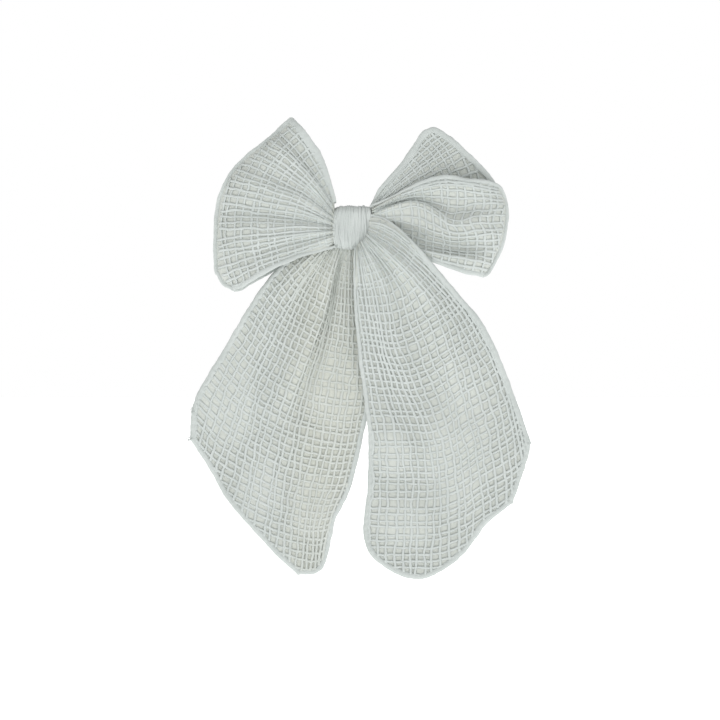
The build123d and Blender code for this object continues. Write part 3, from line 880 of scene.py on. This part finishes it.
# frayed thread ends at two places on the left tail's outer edge
frayed_bundle = Bundle(6)
frayed_draw = np.random.default_rng(61)
for x, z, count in ((-53.8, -60.6, 9), (-54.8, -70.3, 12)):
    root = np.array([x, edge_depth(left_tail, [x], [z])[0], z])
    for _ in range(count):
        outward = unit(np.array([-1.0, -0.2, frayed_draw.uniform(-1.0, 0.5)]))
        start = root + 0.6 * outward + frayed_draw.normal(0.0, 0.3, 3)
        hair(frayed_bundle, start, outward, frayed_draw, 1.3, 0.26)
frayed_ends = frayed_bundle.make("left_tail_frayed_ends", hem_cotton)
declare(frayed_ends, "bow", "left_tail_hem")


# ---------------------------------------------------------------- knot
knot_low, knot_high = node_box("centre_knot_wrap")


def ring_profile(low, high, corner, count):
    """A closed rounded rectangle in Y and Z, between two corners."""
    (low_y, low_z), (high_y, high_z) = low, high
    quarter = np.linspace(0.0, np.pi / 2, 9)
    arcs = []
    centres = [(high_y - corner, high_z - corner), (low_y + corner, high_z - corner),
               (low_y + corner, low_z + corner), (high_y - corner, low_z + corner)]
    for number, (cy, cz) in enumerate(centres):
        angle = quarter + number * np.pi / 2
        arcs.append(columns(cy + corner * np.cos(angle), cz + corner * np.sin(angle)))
    path = np.vstack(arcs + [arcs[0][:1]])
    return resample(path, count + 1)[:-1]


def knot_waist(x):
    """The knot's size at x: fuller in the middle, drawn in at its left and right ends."""
    share = (x - knot_low[0]) / (knot_high[0] - knot_low[0])
    return 1.0 - 0.10 * np.abs(2 * share - 1) ** 2.2 + 0.03 * np.sin(5.0 * share)


profile_count = 96
middle_x, middle_y, middle_z = (knot_low + knot_high) / 2
profile = ring_profile(knot_low[1:] + 0.5, knot_high[1:] - 0.5, 3.0, profile_count)
turn = np.arange(profile_count) / profile_count


def knot_ring(x, swell, slant, seed):
    """One turn of the wrap at x, with its normals."""
    scale = knot_waist(x) + swell
    front = smoothstep(middle_y, knot_low[1] + 1.0, profile[:, 0])
    y = middle_y + (profile[:, 0] - middle_y) * np.where(profile[:, 0] < middle_y, scale, 1.0)
    top_bump = 0.07 * smoothstep(middle_z, knot_high[2], profile[:, 1]) * math.exp(-((x - 3.4) / 1.4) ** 2)
    z = middle_z + (profile[:, 1] - middle_z) * (scale + top_bump)
    height = profile[:, 1] - middle_z
    sway = slant * height / 7.0 + 0.28 * wander(turn * 24.0, seed, 4.0) * np.sin(np.pi * turn)
    sway = sway - 0.9 * smoothstep(1.0, -6.5, x) * np.cos(np.clip(height / 7.5, -1, 1) * np.pi / 2)
    pinch = 0.10 * (x - middle_x) * (np.abs(profile[:, 1] - middle_z) / 7.0) ** 2
    return columns(x + sway - pinch * front, y, z), unit(columns(0.0, y - middle_y, z - middle_z))


wrap_bundle = Bundle(8)
strand_count = 40
for index in range(strand_count):
    share = (index + 0.5) / strand_count
    x = knot_low[0] + 0.5 + share * (knot_high[0] - knot_low[0] - 1.0)
    ridge = 0.014 * math.sin(index * 1.9) + 0.014 * rng.uniform(-1, 1)
    if share > 0.86:
        ridge += 0.035
    points, outward = knot_ring(x, ridge, 0.5 * math.sin(index * 0.7), 700 + index)
    width = 0.50 * (1.0 + 0.30 * wander(turn * 24.0, 800 + index, 2.0))
    wrap_bundle.add(points, outward, width, 0.55 * width, closed=True)
knot_strands = wrap_bundle.make("centre_knot_strands", knot_cotton)

band_columns = 26
band_points = []
for index in range(band_columns):
    x = knot_low[0] + 0.3 + index / (band_columns - 1) * (knot_high[0] - knot_low[0] - 0.6)
    points, outward = knot_ring(x, -0.004 + 0.012 * math.sin(index * 1.3), 0.0, 900)
    band_points.append(points)
inner_points = []
for ring in band_points[::-1]:
    centre = np.array([0.0, middle_y, middle_z])
    outward = unit((ring - centre) * np.array([0.0, 1.0, 1.0]))
    inner_points.append(ring - outward * 0.5)
shell = np.vstack(band_points + inner_points)
band_faces = grid_faces(2 * band_columns, profile_count, close_rows=True, close_columns=True)
knot_band = make_object("centre_knot_band", shell, band_faces, knot_cotton)
declare(knot_strands, "bow", "centre_knot_wrap")
declare(knot_band, "bow", "centre_knot_wrap")

# gathered core: pleats pinched side by side, running through the knot
core_low, core_high = node_box("gathered_core")
core_bundle = Bundle(8)
_, core_y, core_z = (core_low + core_high) / 2
core_pleats = 46
golden_angle = 2.399963         # spreads the pleats evenly over the core's section
for index in range(core_pleats):
    angle = index * golden_angle
    radius = math.sqrt((index + 0.5) / core_pleats) * 0.9
    x = np.linspace(core_low[0] - 0.6, core_high[0] + 0.4, 22)
    flare = 1.0 + 0.05 * np.abs(x) / 6.0
    y = core_y + radius * math.cos(angle) * (core_high[1] - core_low[1]) / 2 * flare
    z = core_z + radius * math.sin(angle) * (core_high[2] - core_low[2]) / 2 * flare
    path = columns(x, y + 0.2 * wander(x, 1000 + index, 3.0), z + 0.2 * wander(x, 1100 + index, 3.0))
    core_bundle.add(path, FRONT, 1.5, 0.9)
core_piece = core_bundle.make("gathered_core_pleats", knot_cotton)
declare(core_piece, "bow", "gathered_core")


def twisted_rings(name, node, material, places, radius):
    """Turns of two-ply thread round the core."""
    count = 120
    twists = 30
    low, high = node_box(node)
    ring = ring_profile((low[1] + radius, low[2] + radius), (high[1] - radius, high[2] - radius), 2.2, count)
    outward = unit(ring - ring.mean(axis=0))
    bundle = Bundle(6)
    along = np.arange(count) / count
    for x in places:
        for ply in (0.0, np.pi):
            phase = 2 * np.pi * twists * along + ply
            y, z = (ring + outward * (0.45 * radius * np.sin(phase))[:, None]).T
            path = columns(x + 0.45 * radius * np.cos(phase), y, z)
            bundle.add(path, columns(0.0, *outward.T), 1.1 * radius, 1.1 * radius, closed=True)
    declare(bundle.make(name, material), "bow", node)


twisted_rings("gathering_thread_turns", "gathering_thread", thread_cotton, (-1.95, -0.35, 1.25), 0.25)

stitch_low, stitch_high = node_box("wrap_stitches")
stitch_bundle = Bundle(8)
for x in np.linspace(stitch_low[0] + 0.7, stitch_high[0] - 0.7, 4):
    t = np.linspace(-1.0, 1.0, 13)
    path = columns(x + 0.5 * t, (stitch_low[1] + stitch_high[1]) / 2 + 0.9 * t,
                   stitch_low[2] + 0.05 + 0.5 * t**2)
    stitch_bundle.add(path, np.array([0.0, 0.0, -1.0]), 0.36, 0.3)
stitches = stitch_bundle.make("wrap_stitch_threads", thread_cotton)
declare(stitches, "bow", "wrap_stitches")


# ---------------------------------------------------------------- felt pad and ribbon
def soft_slab(name, node, material, edge, fuzz, seed):
    """A slab with soft rounded edges and a slightly uneven face, filling a node's box."""
    low, high = node_box(node)
    centre = (low + high) / 2
    half = (high - low) / 2
    rings = 9
    around = 120
    corner = min(half[0], half[2]) * 0.8
    quarter = ring_profile((-half[0], -half[2]), (half[0], half[2]), corner, around)
    points = []
    for level in np.linspace(-1.0, 1.0, rings):
        shrink = edge * (1.0 - math.sqrt(max(0.0, 1.0 - level**2)))
        ring = quarter * (1.0 - shrink / np.maximum(np.linalg.norm(quarter, axis=1), 1e-6))[:, None]
        points.append(columns(centre[0] + ring[:, 0], centre[1] + level * half[1], centre[2] + ring[:, 1]))
    caps = []
    for side, ring in ((-1, points[0]), (1, points[-1])):
        for share in (0.75, 0.5, 0.25, 0.02):
            inner = (ring - centre) * np.array([share, 1.0, share]) + centre
            inner[:, 1] += fuzz * wander_2d(inner[:, 0], inner[:, 2], seed, 1.5)
            caps.append((side, inner))
    front = [c for s, c in caps if s < 0][::-1]
    back = [c for s, c in caps if s > 0]
    layers = front + points + back
    obj = make_object(name, np.vstack(layers), grid_faces(len(layers), around, close_columns=True), material)
    declare(obj, "bow", node)
    return obj


felt_piece = soft_slab("felt_pad_wool", "felt_pad", felt_wool, 0.4, 0.10, 61)

ribbon_low, ribbon_high = node_box("clip_ribbon_lining")
ribbon_thickness = 0.4
rib_pitch = 0.55


def ribbon_section():
    """The ribbon's middle line in X and Y: along the arm's front, round its tip and back inside."""
    front_y = ribbon_low[1] + ribbon_thickness / 2
    back_y = ribbon_high[1] - ribbon_thickness / 2
    tip_x = ribbon_low[0] + ribbon_thickness / 2
    return resample(np.array([(ribbon_high[0], front_y), (tip_x + 0.3, front_y), (tip_x, front_y + 0.3),
                              (tip_x, back_y - 0.3), (tip_x + 0.3, back_y), (ribbon_high[0], back_y)]), 420)


section = ribbon_section()
ahead = unit(np.gradient(section, axis=0))
outward = columns(ahead[:, 1], -ahead[:, 0])
along = np.linspace(0.0, np.linalg.norm(np.diff(section, axis=0), axis=1).sum(), len(section))
ribs = 0.05 * np.cos(2 * np.pi * along / rib_pitch)
levels = np.linspace(ribbon_low[2], ribbon_high[2], 7)
sheets = []
for sign in (1.0, -1.0):
    face = section + outward * (sign * (ribbon_thickness / 2 - 0.05) + sign * ribs)[:, None]
    for z in (levels if sign > 0 else levels[::-1]):
        sheets.append(columns(face[:, 0], face[:, 1], z))
ribbon_points = np.vstack(sheets)
ribbon_faces = grid_faces(len(sheets), len(section), close_rows=True)
ribbon_piece = make_object("clip_ribbon", ribbon_points, ribbon_faces, ribbon_weave)
declare(ribbon_piece, "bow", "clip_ribbon_lining")

# ---------------------------------------------------------------- clip
for node, material in {"clip_upper_arm": clip_metal, "clip_lower_arm": clip_metal,
                       "clip_hinge_pin": pin_metal, "clip_grip_pad": grip_silicone}.items():
    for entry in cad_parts[node].material_slots:
        entry.material = material

spring_low, spring_high = node_box("clip_torsion_spring")
pin_x, pin_y, _ = (spring_low + spring_high) / 2
wire = 0.5
coil_r = (spring_high[0] - spring_low[0]) / 2 - wire / 2
turns = 5
leg_length = 6.0
leg_slope = math.radians(15.0)      # the upper finger tab leans away by this much
angle = np.linspace(-np.pi, 2 * np.pi * turns, 40 * turns)
coil_z = np.linspace(spring_low[2] + wire, spring_high[2] - wire, len(angle))
coil = columns(pin_x + coil_r * np.sin(angle), pin_y - coil_r * np.cos(angle), coil_z)
coil_normal = columns(np.sin(angle), -np.cos(angle), 0.0)
out = np.linspace(0.4, leg_length, 12)[:, None]
lower_leg = coil[0] + out[::-1] * np.array([1.0, 0.0, 0.0])
upper_leg = coil[-1] + out * np.array([math.cos(leg_slope), -math.sin(leg_slope), 0.0])
spring_bundle = Bundle(10)
spring_bundle.add(np.vstack([lower_leg, coil, upper_leg]),
                  np.vstack([np.repeat(coil_normal[:1], 12, axis=0), coil_normal,
                             np.repeat(coil_normal[-1:], 12, axis=0)]), wire, wire)
spring_piece = spring_bundle.make("clip_spring_coil", spring_metal)
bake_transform(spring_piece)
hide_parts("clip_torsion_spring")

# ---------------------------------------------------------------- camera, light and floor
low, high = (np.array(corner) for corner in cad_box)
object_height = high[2] - low[2]
height_share = 0.642          # the bow's height as a share of the picture's
above_centre = 0.0152         # how far the bow's middle is above the picture's, as a share
lens = 85.0
sensor = 36.0
view_width = object_height / height_share
camera_data = bpy.data.cameras.new("camera")
camera_data.lens = lens
camera_data.sensor_width = sensor
camera = bpy.data.objects.new("camera", camera_data)
bpy.context.scene.collection.objects.link(camera)
distance = view_width * lens / sensor
cloth_front = -0.011          # the plane that is framed, in metres
camera.location = ((low[0] + high[0]) / 2, cloth_front - distance,
                   (low[2] + high[2]) / 2 - above_centre * view_width)
camera.rotation_euler = (math.pi / 2, 0.0, 0.0)
bpy.context.scene.camera = camera


def area_light(name, place, target, size, power):
    data = bpy.data.lights.new(name, "AREA")
    data.shape = "DISK"
    data.size = size
    data.energy = power
    obj = bpy.data.objects.new(name, data)
    obj.location = place
    direction = np.array(target) - np.array(place)
    obj.rotation_euler = (math.acos(-direction[2] / np.linalg.norm(direction)), 0.0,
                          math.atan2(direction[1], direction[0]) - math.pi / 2)
    bpy.context.scene.collection.objects.link(obj)


bow_middle = (0.0, -0.01, -0.04)
area_light("key", (-0.28, -0.55, -0.24), bow_middle, 0.10, 0.70)
area_light("front", (0.06, -0.95, 0.25), (0.0, -0.01, 0.02), 0.55, 0.6)

# studio walls: white near the horizon all round, darker above and below
world = bpy.data.worlds.new("studio")
world.use_nodes = True
nodes = world.node_tree.nodes
links = world.node_tree.links
axes = nodes.new("ShaderNodeSeparateXYZ")
links.new(nodes.new("ShaderNodeTexCoord").outputs["Generated"], axes.inputs["Vector"])
height = nodes.new("ShaderNodeMath")
height.operation = "ABSOLUTE"
links.new(axes.outputs["Z"], height.inputs[0])
links.new(ramp(world.node_tree, height.outputs["Value"], (0.30, (1.0, 1.0, 1.0)), (0.62, (0.45, 0.45, 0.45))),
          nodes["Background"].inputs["Color"])
nodes["Background"].inputs["Strength"].default_value = 1.0
bpy.context.scene.world = world
bpy.context.scene.view_settings.view_transform = "Standard"

paper = Look("floor_paper", 0.95)
paper.colour(paper.ramp(paper.noise(8.0), (0.3, (0.93, 0.93, 0.93)), (0.7, (0.95, 0.95, 0.95))))
paper.shader["Emission Color"].default_value = (1.0, 1.0, 1.0, 1.0)
paper.shader["Emission Strength"].default_value = 0.80
floor_drop = 0.075
floor_half = 6.0
corners = [(x, y, low[2] - floor_drop) for y in (-floor_half, floor_half) for x in (-floor_half, floor_half)]
floor = make_object("floor", np.array(corners) / MM, [(0, 1, 3, 2)], paper.material)
